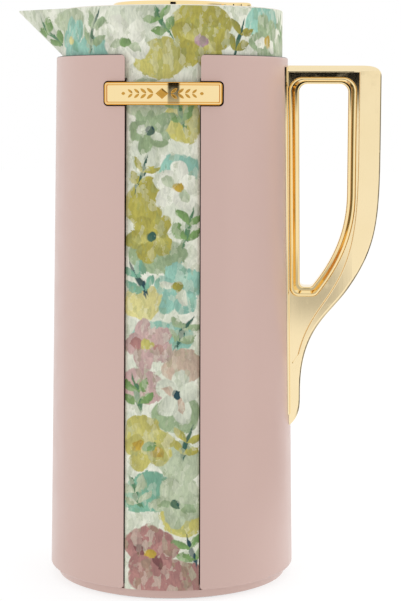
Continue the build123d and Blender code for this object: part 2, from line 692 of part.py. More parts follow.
with BuildPart() as flange:
    turned([
        (shell_r(FLANGE_Z0) - 1, FLANGE_Z0),
        (shell_r(FLANGE_Z0) + FLANGE_THICK, FLANGE_Z0),
        (shell_r(FLANGE_Z1) + FLANGE_THICK, FLANGE_Z1),
        (shell_r(FLANGE_Z1) - 1, FLANGE_Z1),
    ])
    block(40, 80, -FLANGE_HALF, FLANGE_HALF, FLANGE_Z0 - 1, FLANGE_Z1 + 1, Mode.INTERSECT)

rim_reach = pocket_outline(0.3).faces()[0]

with BuildPart() as handle_frame:
    extrude(outer_outline(), amount=HANDLE_HALF, both=True)
    for side in (-1, 1):
        with BuildSketch(Plane.XY) as cant:
            with BuildLine():
                Polyline(
                    (CREASE_X, side * HANDLE_HALF),
                    (HANDLE_X + 1, side * (HANDLE_HALF - BAND_FALL)),
                    (HANDLE_X + 1, side * (HANDLE_HALF + 1)),
                    (CREASE_X, side * (HANDLE_HALF + 1)),
                    close=True,
                )
            make_face()
        extrude(cant.sketch, amount=300, mode=Mode.SUBTRACT)
    long_edges = handle_frame.edges().filter_by(lambda e: abs(e.center().Y) > HANDLE_HALF - 1.1)
    fillet(long_edges.filter_by(lambda e: e.center().X > 62 and abs(e.center().X - CREASE_X) > 0.1), radius=EDGE_R)
    for side in (-1, 1):
        with BuildSketch(Plane.YZ) as bevel:
            with BuildLine():
                Polyline(
                    (side * BEVEL_Y, HANDLE_TOP),
                    (side * HANDLE_HALF, HANDLE_TOP - BEVEL_FALL),
                    (side * HANDLE_HALF, HANDLE_TOP + 1),
                    (side * BEVEL_Y, HANDLE_TOP + 1),
                    close=True,
                )
            make_face()
        extrude(bevel.sketch, amount=120, mode=Mode.SUBTRACT)
    for side in (-1, 1):
        with BuildSketch(Plane.XZ.offset(side * WEB_HALF)) as pocket:
            add(pocket_outline())
        extrude(pocket.sketch, amount=side * 10, mode=Mode.SUBTRACT)
    rim = handle_frame.edges().filter_by(lambda e: abs(e.center().Y) > HANDLE_HALF - 0.6 and e.center().X > 70)
    rim = rim.filter_by(lambda e: e.center().Z < POCKET_TOP - 0.1)
    rim = rim.filter_by(lambda e: rim_reach.is_inside((e.center().X, 0, e.center().Z)))
    fillet(rim, radius=RIM_R)
    add(flange.part)
    extrude(ring_outline(1), amount=20, both=True, mode=Mode.SUBTRACT)
    add(jug_skin.part, mode=Mode.SUBTRACT)
    for screw_y, screw_z in HANDLE_SCREWS:
        rod_x(screw_y, screw_z, SCREW_R, 40, SCREW_END, Mode.SUBTRACT)
save(handle_frame, "handle_frame")

RING_HALF = 8.6
LEDGE_DEPTH = 1.8                       # how deep the ledge round the hole lies
LEDGE, MOUTH = 0.37, 0.65               # where the ledge ends and its bevel ends, from hole 0 to outside 1
with BuildPart() as handle_ring:
    extrude(ring_outline(1), amount=RING_HALF, both=True)
    fillet(handle_ring.edges().filter_by(lambda e: abs(abs(e.center().Y) - RING_HALF) < 0.01), radius=1.3)
    for side in (-1, 1):
        ledge = ring_outline(LEDGE, Plane.XZ.offset(side * (RING_HALF - LEDGE_DEPTH)))
        mouth = ring_outline(MOUTH, Plane.XZ.offset(side * RING_HALF))
        loft([ledge, mouth], ruled=True, mode=Mode.SUBTRACT)
        extrude(mouth, amount=side * 5, mode=Mode.SUBTRACT)
    extrude(ring_outline(0), amount=20, both=True, mode=Mode.SUBTRACT)
    hole_edges = handle_ring.edges().filter_by(
        lambda e: abs(abs(e.center().Y) - RING_HALF + LEDGE_DEPTH) < 0.01
    )
    inner = ring_outline(0.1).faces()[0]
    fillet(hole_edges.filter_by(lambda e: inner.is_inside((e.center().X, 0, e.center().Z))), radius=0.8)
    add(jug_skin.part, mode=Mode.SUBTRACT)
save(handle_ring, "handle_ring")

# ---- handle screws and the plates behind them ---------------------------------------------------
PLATE_THICK = 1.6


def backing_plate(z0, z1, seat_r):
    """Steel plate that follows the inside of the wall at radius seat_r(z), between z0 and z1."""
    turned([
        (seat_r(z0) - PLATE_THICK, z0),
        (seat_r(z0), z0),
        (seat_r(z1), z1),
        (seat_r(z1) - PLATE_THICK, z1),
    ])


def head_seat(z):
    return HEAD_R - HEAD_WALL - 0.05


def casing_seat(z):
    return casing_r(z) - CASING_WALL - 0.05


with BuildPart() as handle_backing_plates:
    backing_plate(257.6, 265.4, head_seat)
    backing_plate(118.0, 148.0, casing_seat)
    with BuildPart(mode=Mode.PRIVATE) as plate_window:
        block(40, 70, -9, 9, 100, 280)
    add(plate_window.part, mode=Mode.INTERSECT)
    for screw_y, screw_z in HANDLE_SCREWS:
        rod_x(screw_y, screw_z, SCREW_R + 0.2, 40, 80, Mode.SUBTRACT)
save(handle_backing_plates, "handle_backing_plates")

SCREW_HEAD_R, SCREW_HEAD_HIGH = 3.0, 2.0
with BuildPart() as handle_screws:
    for screw_y, screw_z in HANDLE_SCREWS:
        seat = head_seat if screw_z > 250 else casing_seat
        plate_r = seat(screw_z + SCREW_HEAD_R) - PLATE_THICK
        seat_x = math.sqrt(plate_r**2 - (abs(screw_y) + SCREW_HEAD_R) ** 2) - 0.05
        rod_x(screw_y, screw_z, SCREW_HEAD_R, seat_x - SCREW_HEAD_HIGH, seat_x)
        rod_x(screw_y, screw_z, SCREW_R, seat_x, SCREW_END - 0.2)
        rod_x(screw_y, screw_z, 1.0, seat_x - SCREW_HEAD_HIGH, seat_x - 0.8, Mode.SUBTRACT)
save(handle_screws, "handle_screws")
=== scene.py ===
"""Looks of the vacuum pouring jug around its CAD frame.

Metres, +Z up. The front faces -Y, the handle +X and the spout -X.
"""

import math

import bpy
from mathutils import Matrix, Vector


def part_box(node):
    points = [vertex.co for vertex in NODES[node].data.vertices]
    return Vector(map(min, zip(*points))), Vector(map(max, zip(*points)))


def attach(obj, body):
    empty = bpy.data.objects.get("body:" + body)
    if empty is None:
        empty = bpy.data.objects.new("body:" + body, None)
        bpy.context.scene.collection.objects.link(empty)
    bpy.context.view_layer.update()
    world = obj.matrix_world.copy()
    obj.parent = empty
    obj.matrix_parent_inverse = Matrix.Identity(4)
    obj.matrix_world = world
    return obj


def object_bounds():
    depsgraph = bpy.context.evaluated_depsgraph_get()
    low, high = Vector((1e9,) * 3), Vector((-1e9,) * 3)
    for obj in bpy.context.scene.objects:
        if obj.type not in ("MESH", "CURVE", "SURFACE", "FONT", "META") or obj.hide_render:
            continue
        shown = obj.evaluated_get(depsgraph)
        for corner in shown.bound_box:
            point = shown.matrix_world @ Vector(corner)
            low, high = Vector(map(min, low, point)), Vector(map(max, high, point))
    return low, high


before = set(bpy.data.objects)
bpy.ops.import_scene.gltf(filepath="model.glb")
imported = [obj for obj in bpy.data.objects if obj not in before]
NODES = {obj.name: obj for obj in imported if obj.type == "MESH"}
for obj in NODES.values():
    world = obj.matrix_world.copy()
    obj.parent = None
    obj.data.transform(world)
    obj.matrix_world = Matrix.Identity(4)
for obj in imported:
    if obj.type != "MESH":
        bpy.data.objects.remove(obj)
cad_low, cad_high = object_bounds()

MM = 0.001
SCENE = bpy.context.scene

HEAD_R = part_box("head")[1].x             # outside of the head cylinder
SHELL_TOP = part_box("side_shell_spout")[1].z
badge_low, badge_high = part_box("badge")
BADGE_R = -badge_low.y
BADGE_Z = (badge_low.z + badge_high.z) / 2


# ---- colours and shader helpers -----------------------------------------------------------------
def rgb(code):
    """Linear RGBA from a six-digit sRGB colour code."""
    parts = [int(code[i:i + 2], 16) / 255 for i in (0, 2, 4)]
    linear = [p / 12.92 if p <= 0.04045 else ((p + 0.055) / 1.055) ** 2.4 for p in parts]
    return (*linear, 1.0)


class Shader:
    """A node tree with short calls for adding and linking nodes."""

    def __init__(self, tree):
        self.tree = tree

    def add(self, kind, **settings):
        node = self.tree.nodes.new("ShaderNode" + kind)
        for name, value in settings.items():
            setattr(node, name, value)
        return node

    def put(self, socket, value):
        if isinstance(value, bpy.types.NodeSocket):
            self.tree.links.new(value, socket)
        else:
            socket.default_value = value

    def math(self, operation, *values):
        node = self.add("Math", operation=operation)
        for socket, value in zip(node.inputs, values):
            self.put(socket, value)
        return node.outputs[0]

    def vector(self, operation, *values):
        node = self.add("VectorMath", operation=operation)
        for socket, value in zip(node.inputs, values):
            self.put(socket, value)
        return node.outputs["Value" if operation in ("LENGTH", "DOT_PRODUCT") else "Vector"]

    def scaled(self, vector, factor):
        node = self.add("VectorMath", operation="SCALE")
        self.put(node.inputs[0], vector)
        self.put(node.inputs["Scale"], factor)
        return node.outputs["Vector"]

    def mix(self, factor, under, over, blend="MIX"):
        node = self.add("Mix", data_type="RGBA", blend_type=blend)
        self.put(node.inputs[0], factor)
        self.put(node.inputs[6], under)
        self.put(node.inputs[7], over)
        return node.outputs[2]

    def smooth(self, value, low, high, to_low=0.0, to_high=1.0):
        node = self.add("MapRange", interpolation_type="SMOOTHSTEP")
        for socket, given in zip(node.inputs, (value, low, high, to_low, to_high)):
            self.put(socket, given)
        return node.outputs[0]

    def split(self, vector):
        node = self.add("SeparateXYZ")
        self.put(node.inputs[0], vector)
        return node.outputs

    def join(self, x, y, z=0.0):
        node = self.add("CombineXYZ")
        for socket, value in zip(node.inputs, (x, y, z)):
            self.put(socket, value)
        return node.outputs[0]

    def noise(self, vector, scale, detail=2.0, roughness=0.5, output="Factor"):
        """Noise as a factor, or as a colour that serves as three independent noises."""
        node = self.add("TexNoise")
        self.put(node.inputs["Vector"], vector)
        node.inputs["Scale"].default_value = scale
        node.inputs["Detail"].default_value = detail
        node.inputs["Roughness"].default_value = roughness
        return node.outputs[0 if output == "Factor" else 1]

    def jitter(self, colour, reach):
        """A noise colour as an offset to either side of nothing."""
        return self.scaled(self.vector("SUBTRACT", colour, (0.5, 0.5, 0.5)), reach)

    def place(self):
        return self.add("TexCoord").outputs["Object"]

    def bump(self, height, distance, strength=1.0):
        node = self.add("Bump")
        node.inputs["Strength"].default_value = strength
        node.inputs["Distance"].default_value = distance
        self.put(node.inputs["Height"], height)
        return node.outputs[0]


def material(name, **sockets):
    """A Principled material. Returns it with its Shader and its Principled node."""
    made = bpy.data.materials.new(name)
    made.use_nodes = True
    shader = Shader(made.node_tree)
    surface = made.node_tree.nodes["Principled BSDF"]
    for socket, value in sockets.items():
        surface.inputs[socket.replace("_", " ")].default_value = value
    return made, shader, surface


def wear(given, made):
    """Puts a material on CAD nodes."""
    for node in given:
        mesh = NODES[node].data
        mesh.materials.clear()
        mesh.materials.append(made)


# ---- plain moulded and turned materials ---------------------------------------------------------
def moulded(name, code, roughness, grain=0.02):
    """Injection-moulded plastic or rubber: faint cloudy tone, uneven gloss and a fine texture."""
    made, sh, surface = material(name)
    at = sh.place()
    cloud = sh.noise(at, 60.0, 3.0)
    dark = [c * 0.9 for c in rgb(code)[:3]] + [1.0]
    sh.put(surface.inputs["Base Color"], sh.mix(cloud, rgb(code), dark))
    gloss = sh.smooth(sh.noise(at, 220.0), 0.3, 0.7, roughness, roughness + 0.1)
    sh.put(surface.inputs["Roughness"], gloss)
    sh.put(surface.inputs["Normal"], sh.bump(sh.noise(at, 900.0), grain * MM))
    return made


PAINTED_SHADE_BAND = (0.5 * MM, 0.3 * MM)        # depths below a shell's top edge where painted shade darkens the lacquer


def lacquer():
    """Satin pink lacquer with a trace of orange peel and a painted shade line just under the shells' top
    edge.
    """
    made, sh, surface = material("pink_lacquer", IOR=1.5)
    surface.inputs["Coat Weight"].default_value = 0.35
    surface.inputs["Coat Roughness"].default_value = 0.22
    at = sh.place()
    tone = sh.mix(sh.noise(at, 14.0, 2.0), rgb("c9aba1"), rgb("c5a79e"))
    _, _, height = sh.split(at)
    # Painted shade: near black in a thin band under the shells' top edge, standing in for the shadow of
    # the gap there.
    fade_low, fade_high = (SHELL_TOP - below for below in PAINTED_SHADE_BAND)
    painted_shade = sh.smooth(height, fade_low, fade_high)
    sh.put(surface.inputs["Base Color"], sh.mix(painted_shade, tone, rgb("1c1716")))
    sh.put(surface.inputs["Roughness"], sh.smooth(sh.noise(at, 90.0, 3.0), 0.3, 0.7, 0.36, 0.44))
    peel = sh.noise(at, 420.0, 1.0)
    sh.put(surface.inputs["Normal"], sh.bump(peel, 0.012 * MM))
    return made


# Fades of the painted shade, a deeper gold, on the badge, from none to full, measured in from its edge.
EDGE_FADE = (0.85 * MM, 0.45 * MM)
STEP_FADE_INSIDE = (1.7 * MM, 1.4 * MM)
STEP_FADE_OUTSIDE = (0.95 * MM, 1.2 * MM)


def badge_bevel_shade(sh, at):
    """1 on the badge's rounded edge and on the step inside its border, where deeper gold paints their
    shade, else 0.
    """
    x, _, z = sh.split(at)
    aside = sh.math("SUBTRACT", badge_high.x, sh.math("ABSOLUTE", x))
    upright = sh.math("ABSOLUTE", sh.math("SUBTRACT", z, BADGE_Z))
    below = sh.math("SUBTRACT", badge_high.z - BADGE_Z, upright)
    inward = sh.math("MINIMUM", aside, below)
    edge = sh.smooth(inward, *EDGE_FADE)
    from_inside = sh.smooth(inward, *STEP_FADE_INSIDE)
    from_outside = sh.smooth(inward, *STEP_FADE_OUTSIDE)
    return sh.math("MAXIMUM", edge, sh.math("MULTIPLY", from_inside, from_outside))


BRIGHT_GOLD = ("f9e3b0", "f4d9a0")      # lighter and deeper tone of each plating
SOFT_GOLD = ("f7e4bb", "f1dcae")
WORN_GOLD = ("d2a24c", "b98a3c")
PAINTED_SHADE_GOLD = "dfa348"                    # painted shade on the badge's rounded edge and border step


def gold(name, roughness, tones, streak=0.0, lines=None):
    """Vacuum gold plating: mirror bright, with faint polishing streaks and handling marks.

    lines(shader, place) says where a deeper gold paints the shade that falls on bevels.
    """
    made, sh, surface = material(name, Metallic=1.0)
    at = sh.place()
    tone = sh.noise(at, 40.0, 3.0)
    colour = sh.mix(tone, *map(rgb, tones))
    if lines:
        # Painted shade: deeper gold on the bevels that the lines mark.
        colour = sh.mix(lines(sh, at), colour, rgb(PAINTED_SHADE_GOLD))
    sh.put(surface.inputs["Base Color"], colour)
    flow = sh.vector("MULTIPLY", at, (1.0, 1.0, 0.06))
    polish = sh.noise(flow, 900.0, 2.0)
    marks = sh.smooth(sh.noise(at, 160.0, 4.0), 0.5, 0.8, roughness, roughness + 0.07)
    sh.put(surface.inputs["Roughness"], sh.math("ADD", marks, sh.math("MULTIPLY", polish, streak)))
    sh.put(surface.inputs["Normal"], sh.bump(polish, 0.004 * MM, 0.5))
    return made


def steel():
    """Bright stainless with fine turning lines."""
    made, sh, surface = material("stainless", Metallic=1.0)
    at = sh.place()
    lines = sh.noise(sh.vector("MULTIPLY", at, (0.2, 0.2, 1.0)), 2500.0, 2.0)
    sh.put(surface.inputs["Base Color"], sh.mix(lines, rgb("c9c9ca"), rgb("adadb0")))
    sh.put(surface.inputs["Roughness"], sh.smooth(lines, 0.2, 0.8, 0.18, 0.34))
    sh.put(surface.inputs["Normal"], sh.bump(lines, 0.01 * MM))
    return made


def glass(name, silvered):
    """Blown glass, clear or with the silver of the vacuum space behind it."""
    made, sh, surface = material(name)
    at = sh.place()
    swirl = sh.noise(at, 35.0, 3.0)
    sh.put(surface.inputs["Base Color"], sh.mix(swirl, rgb("eef4f4"), rgb("d9e6e6")))
    sh.put(surface.inputs["Roughness"], sh.smooth(swirl, 0.3, 0.7, 0.02, 0.06))
    sh.put(surface.inputs["Normal"], sh.bump(swirl, 0.05 * MM))
    if silvered:
        surface.inputs["Metallic"].default_value = 1.0
    else:
        surface.inputs["Transmission Weight"].default_value = 0.9
    return made


def felt():
    """Pressed felt pads."""
    made, sh, surface = material("pressed_felt")
    at = sh.place()
    fibre = sh.noise(at, 1400.0, 5.0, 0.7)
    surface.inputs["Roughness"].default_value = 0.95
    surface.inputs["Sheen Weight"].default_value = 0.3
    sh.put(surface.inputs["Base Color"], sh.mix(fibre, rgb("8d877c"), rgb("b5aea0")))
    sh.put(surface.inputs["Normal"], sh.bump(fibre, 0.25 * MM))
    return made


# ---- printed flower pattern ---------------------------------------------------------------------
PAINT = {
    "white": "e6e7d8", "sage_white": "d3d8c6", "sage": "b3bfa2", "sage_green": "93a883",
    "green": "73965a", "deep_green": "4f7b58", "dark_green": "2f5a4d", "dark_teal": "17404a",
    "teal": "8fc0b0", "sea": "77ac94", "olive": "ada54b", "olive_dark": "938d3a",
    "olive_light": "bfb866", "pale_yellow": "d8d08c", "ochre": "b99b39", "mauve": "b2909a",
    "pink": "c3a3a0", "rose": "a87874", "beige": "c1aa98", "wine": "7a4b4c",
}
LIGHT_STROKE = "dfe2cd"
GREEN_STROKE = "7c8f62"
LIGHT_STREAK = "f2f0dc"
DARK_STREAK = "4c5a3c"
WEAVE = "5a5a4c"
BARE_PLASTIC = "e2ddd0"


# The print is a plain strewn design made of three motifs. A dab is one row: kind, angle round the jug
# from the front in degrees, height in millimetres, half width, half height, turn in degrees, paint.
# A degree is about a millimetre on this jug, so the motifs keep their shape.
def wash(angle, height, half_wide, half_high, paint):
    """A soft patch of colour behind the motifs."""
    return [("blob", angle, height, half_wide, half_high, 0, paint)]


def flower(angle, height, size, petal, inner, heart, turn=0):
    """Five broad petals, a darker fold on two of them and a round heart."""
    dabs = []

    def add_round(kind, petals, away, half_wide, half_high, paint):
        for i in petals:
            a = math.radians(turn + 72 * i)
            x, y = angle - away * size * math.sin(a), height + away * size * math.cos(a)
            dabs.append((kind, x, y, half_wide * size, half_high * size, turn + 72 * i, paint))

    add_round("blob", range(5), 0.56, 0.42, 0.5, petal)
    add_round("leaf", (1, 3), 0.42, 0.2, 0.36, inner)
    dabs.append(("blob", angle, height, 0.22 * size, 0.2 * size, 0, heart))
    return dabs


def sprig(angle, height, length, turn, leaf, stem):
    """A thin stem with two pairs of leaves."""
    a = math.radians(turn)
    dabs = [("leaf", angle, height, 0.06 * length, 0.5 * length, turn, stem)]
    for i in range(2):
        along = length * (0.22 - 0.34 * i)
        for side in (-1, 1):
            out = side * 0.17 * length
            x = angle - along * math.sin(a) + out * math.cos(a)
            y = height + along * math.cos(a) + out * math.sin(a)
            dabs.append(("leaf", x, y, 0.1 * length, 0.22 * length, turn - side * 48, leaf))
    return dabs


HEAD_DABS = (
    wash(-88, 281, 12, 12, "sage_white") + wash(-60, 286, 14, 8, "sage") + wash(-40, 270, 12, 9, "teal")
    + wash(-14, 287, 16, 8, "sage_white") + wash(-2, 266, 14, 10, "olive_light")
    + wash(20, 283, 15, 11, "olive") + wash(42, 268, 12, 9, "white") + wash(58, 285, 14, 8, "teal")
    + wash(80, 272, 10, 9, "sage")
    + sprig(-80, 279, 22, 24, "green", "deep_green")
    + flower(-58, 277, 12, "teal", "sea", "pale_yellow", 12)
    + sprig(-38, 280, 22, -20, "sage_green", "dark_green")
    + flower(-19, 275, 12.5, "white", "sage", "green", 30)
    + sprig(1, 283, 20, 28, "green", "deep_green")
    + flower(19, 274, 14, "olive", "olive_light", "mauve", -8)
    + sprig(40, 276, 24, -16, "olive_dark", "dark_green")
    + flower(60, 276, 12, "sage_green", "white", "ochre", 20)
    + sprig(80, 283, 20, 34, "sage_green", "green")
)

STRIP_DABS = (
    wash(-8, 247, 12, 9, "sage") + wash(10, 236, 10, 10, "olive_light")
    + wash(-10, 222, 9, 9, "sage_white") + wash(8, 212, 11, 9, "teal") + wash(-9, 197, 10, 11, "olive")
    + wash(10, 190, 9, 9, "sage_white") + wash(-2, 172, 14, 9, "sage_green")
    + wash(9, 156, 10, 9, "teal") + wash(-10, 148, 9, 9, "pale_yellow") + wash(0, 131, 15, 9, "teal")
    + wash(10, 116, 9, 9, "beige") + wash(-9, 108, 10, 9, "pink") + wash(6, 94, 12, 9, "sage_green")
    + wash(-9, 82, 10, 10, "olive_light") + wash(9, 70, 10, 11, "sage") + wash(-6, 54, 12, 11, "sea")
    + wash(9, 42, 10, 9, "olive_light") + wash(-6, 28, 13, 9, "rose") + wash(3, 12, 17, 10, "rose")
    + sprig(9, 241, 22, 16, "green", "deep_green")
    + flower(-6, 232, 11, "sage_green", "sage_white", "dark_teal", 18)
    + sprig(-11, 211, 20, -22, "olive", "dark_green")
    + flower(7, 205, 12, "white", "sage", "ochre", -6)
    + sprig(12, 184, 21, -12, "green", "deep_green")
    + flower(-6, 181, 12, "olive", "olive_light", "dark_green", 28)
    + sprig(-12, 160, 20, 20, "sea", "dark_teal")
    + flower(7, 155, 12.5, "teal", "sage_white", "olive_dark", 4)
    + sprig(10, 133, 20, -24, "sage_green", "dark_green")
    + flower(-6, 128, 12, "pink", "rose", "olive_light", 22)
    + sprig(-12, 104, 20, 12, "green", "deep_green")
    + flower(7, 102, 11.5, "sage_white", "beige", "dark_teal", -14)
    + sprig(11, 79, 21, -14, "olive", "dark_green")
    + flower(-6, 77, 12, "olive_light", "ochre", "green", 10)
    + sprig(-12, 55, 20, 22, "sage", "deep_green")
    + flower(7, 50, 12, "sage", "sage_green", "dark_green", 26)
    + sprig(13, 26, 20, 18, "green", "dark_teal")
    + flower(-5, 24, 12.5, "rose", "wine", "ochre", -4)
)


TRACE = 1e-6                            # of a millimetre, too small to see
SPOUT_START = 64.0                      # millimetres from the jug's axis, where the beak begins
SPOUT_STRETCH = 1.1                     # degrees the print runs on along the beak per millimetre


def dab_group(kind):
    """Node group that paints one dab over what is under it."""
    group = bpy.data.node_groups.new("dab_" + kind, "ShaderNodeTree")
    face = group.interface
    for socket in ("Under", "Paint", "Shade"):
        face.new_socket(socket, in_out="INPUT", socket_type="NodeSocketColor")
    for socket in ("Point", "Place", "Turn", "Size"):
        face.new_socket(socket, in_out="INPUT", socket_type="NodeSocketVector")
    face.new_socket("Edge", in_out="INPUT", socket_type="NodeSocketFloat")
    face.new_socket("Painted", in_out="OUTPUT", socket_type="NodeSocketColor")
    given = group.nodes.new("NodeGroupInput").outputs
    sh = Shader(group)
    local = sh.add("Mapping", vector_type="TEXTURE")
    # The point waits for the dab below by a trace of its colour, which keeps the shader's stack short.
    after_last = sh.vector("MULTIPLY_ADD", given["Under"], (TRACE, TRACE, TRACE), given["Point"])
    sh.put(local.inputs["Vector"], after_last)
    for source, target in (("Place", "Location"), ("Turn", "Rotation"), ("Size", "Scale")):
        sh.put(local.inputs[target], given[source])
    x, y, _ = sh.split(local.outputs[0])
    if kind == "leaf":
        far = sh.math("ADD", sh.math("ABSOLUTE", x), sh.math("MULTIPLY", y, y))
    else:
        far = sh.vector("LENGTH", local.outputs[0])
    low = sh.math("ADD", 1.0, given["Edge"])
    high = sh.math("SUBTRACT", 1.0, given["Edge"])
    mask = sh.smooth(far, low, high)
    across = sh.math("ADD", x, sh.math("MULTIPLY", y, 0.6))
    tone = sh.mix(sh.smooth(across, -1.0, 1.1), given["Paint"], given["Shade"])
    out = group.nodes.new("NodeGroupOutput")
    sh.put(out.inputs["Painted"], sh.mix(mask, given["Under"], tone))
    return group


def wrapped_point(sh, at):
    """(angle from the front in degrees, height in mm) on the jug; the back repeats the front mirrored."""
    x, y, z = sh.split(at)
    angle = sh.math("MULTIPLY", sh.math("ARCTAN2", x, sh.math("MULTIPLY", y, -1.0)), 180 / math.pi)
    radius = sh.math("MULTIPLY", sh.vector("LENGTH", sh.join(x, y)), 1 / MM)
    past_head = sh.math("MAXIMUM", sh.math("SUBTRACT", radius, SPOUT_START), 0.0)
    spread = sh.math("MULTIPLY", past_head, SPOUT_STRETCH)
    side = sh.math("ABSOLUTE", angle)
    folded = sh.math("SUBTRACT", 90.0, sh.math("ABSOLUTE", sh.math("SUBTRACT", side, 90.0)))
    sign = sh.math("SIGN", angle)
    around = sh.math("MULTIPLY", sign, sh.math("ADD", folded, spread))
    return sh.join(around, sh.math("MULTIPLY", z, 1 / MM))


# How far the paint strays from its dab, in millimetres: slow drift, torn cells, whole strokes, bristles.
WANDER, TEAR, CHIP, FRAY = 9.0, 1.7, 1.1, 0.45
STROKE_CELLS = (0.42, 0.2, 1.0)         # strokes per millimetre across and along the brush


def add_dab(sh, group, row, under, point):
    """Paints one row of the design over what is under it."""
    _, angle, height, half_wide, half_high, turn, paint = row
    dab = sh.add("Group")
    dab.node_tree = group
    sh.put(dab.inputs["Under"], under)
    sh.put(dab.inputs["Point"], point)
    base = rgb(PAINT[paint])
    dab.inputs["Paint"].default_value = [min(c * 1.07, 1.0) for c in base]
    dab.inputs["Shade"].default_value = [c * 0.8 for c in base[:3]] + [1.0]
    dab.inputs["Place"].default_value = (angle, height, 0)
    dab.inputs["Turn"].default_value = (0, 0, math.radians(turn))
    dab.inputs["Size"].default_value = (half_wide, half_high, 1)
    dab.inputs["Edge"].default_value = min(0.45, 0.35 / min(half_wide, half_high))
    return dab.outputs[0]


def bare_inside(sh, at):
    """1 where the head carries no print: on its inside, its rim and the channel of the spout."""
    facing = sh.add("TexCoord").outputs["Normal"]
    _, ny, nz = sh.split(facing)
    px, py, _ = sh.split(at)
    inward = sh.math("LESS_THAN", sh.vector("DOT_PRODUCT", facing, sh.join(px, py)), 0.0)
    upward = sh.math("GREATER_THAN", nz, 0.5)
    to_middle = sh.math("LESS_THAN", sh.math("MULTIPLY", ny, py), 0.0)
    on_spout = sh.math("LESS_THAN", px, -HEAD_R)
    spout_inside = sh.math("MULTIPLY", on_spout, to_middle)
    return sh.math("MAXIMUM", sh.math("MAXIMUM", inward, upward), spout_inside)


def printed():
    """The flower print on the head and strips, plain moulded plastic inside."""
    made, sh, surface = material("flower_print")
    at = sh.place()
    point = wrapped_point(sh, at)
    swirl = sh.noise(point, 0.055, 1.0, output="Color")
    ragged = sh.noise(point, 0.4, 2.0, output="Color")
    brush = sh.noise(sh.vector("MULTIPLY", point, (1.0, 0.35, 1.0)), 1.1, 2.0, output="Color")
    cells = sh.add("TexVoronoi")
    torn = sh.vector("ADD", point, sh.jitter(ragged, TEAR))
    sh.put(cells.inputs["Vector"], sh.vector("MULTIPLY", torn, STROKE_CELLS))
    cells.inputs["Scale"].default_value = 1.0
    stroke = cells.outputs["Color"]
    wandered = sh.vector("ADD", point, sh.jitter(swirl, WANDER))
    brushed = sh.vector("ADD", sh.jitter(stroke, CHIP), sh.jitter(brush, FRAY))
    x, y, _ = sh.split(sh.vector("ADD", wandered, brushed))
    moved = sh.join(x, y)

    patches = sh.smooth(sh.noise(point, 0.09, 3.0), 0.42, 0.58)
    colour = sh.mix(patches, rgb(PAINT["white"]), rgb(PAINT["sage_white"]))
    groups = {kind: dab_group(kind) for kind in ("blob", "leaf")}
    for row in HEAD_DABS + STRIP_DABS:
        colour = add_dab(sh, groups[row[0]], row, colour, moved)

    one_stroke, other_stroke, _ = sh.split(stroke)
    colour = sh.mix(sh.smooth(one_stroke, 0.55, 0.9, 0.0, 0.3), colour, rgb(LIGHT_STROKE))
    colour = sh.mix(sh.smooth(other_stroke, 0.62, 0.95, 0.0, 0.3), colour, rgb(GREEN_STROKE))
    streaks = sh.noise(sh.vector("MULTIPLY", moved, (1.0, 0.3, 1.0)), 0.9, 4.0, 0.6)
    colour = sh.mix(sh.smooth(streaks, 0.25, 0.8, 0.0, 0.3), colour, rgb(LIGHT_STREAK), "SOFT_LIGHT")
    colour = sh.mix(sh.smooth(streaks, 0.62, 0.3, 0.0, 0.16), colour, rgb(DARK_STREAK), "MULTIPLY")
    weave = sh.noise(point, 4.0, 2.0)
    colour = sh.mix(sh.smooth(weave, 0.3, 0.7, 0.0, 0.07), colour, rgb(WEAVE), "MULTIPLY")
    sh.put(surface.inputs["Base Color"], sh.mix(bare_inside(sh, at), colour, rgb(BARE_PLASTIC)))
    surface.inputs["Roughness"].default_value = 0.5
    surface.inputs["Specular IOR Level"].default_value = 0.35
    grain = sh.math("ADD", sh.math("MULTIPLY", weave, 0.7), sh.math("MULTIPLY", streaks, 0.5))
    sh.put(surface.inputs["Normal"], sh.bump(grain, 0.025 * MM, 0.5))
    return made


wear(["head"], printed())
wear(["side_shell_spout", "side_shell_handle", "foot_ring"], lacquer())
wear(["handle_ring", "lever_plate"], gold("bright_gold", 0.035, BRIGHT_GOLD))
wear(["badge"], gold("badge_gold", 0.035, BRIGHT_GOLD, lines=badge_bevel_shade))
wear(["handle_frame"], gold("handle_gold", 0.05, SOFT_GOLD, streak=0.02))
wear(
    ["inner_casing", "badge_bracket", "base_cover", "adjusting_disc"],
    moulded("black_plastic", "1b1b1d", 0.45),
)
wear(["rubber_foot", "refill_seat"], moulded("black_rubber", "202021", 0.75, 0.05))
wear(["pouring_bowl", "stopper_deck"], moulded("cream_plastic", "e4ddd0", 0.3))
wear(["stopper_body", "stem_guide", "valve_stem"], moulded("white_plastic", "e6e6e2", 0.32))
wear(["neck_gasket", "lip_seal", "valve_seal"], moulded("silicone_rubber", "d8d4ca", 0.6, 0.03))
wear(["refill_outer_glass"], glass("clear_glass", False))
wear(["refill_inner_glass"], glass("silvered_glass", True))
wear(["glass_spacer_pads", "side_buffers"], felt())
wear(
    ["handle_backing_plates", "handle_screws", "lever_pin", "stem_clip", "valve_spring"],
    steel(),
)


# ---- raised ornament of the badge, in millimetres -------------------------------------------------
PANEL_DEPTH = 0.35                      # how deep the badge's panel is sunk
ROOTED = 0.05                           # how far the ornament goes into the panel
RAISED = 0.3                            # its height
LOZENGE = (3.2, 2.7)                    # half width and half height
LEAVES, LEAF_TURN = 4, 38               # pairs on each side, and their slant in degrees
LEAF_START, LEAF_STEP, BEAD_AT = 5.8, 3.3, 19.3     # along the badge from its middle


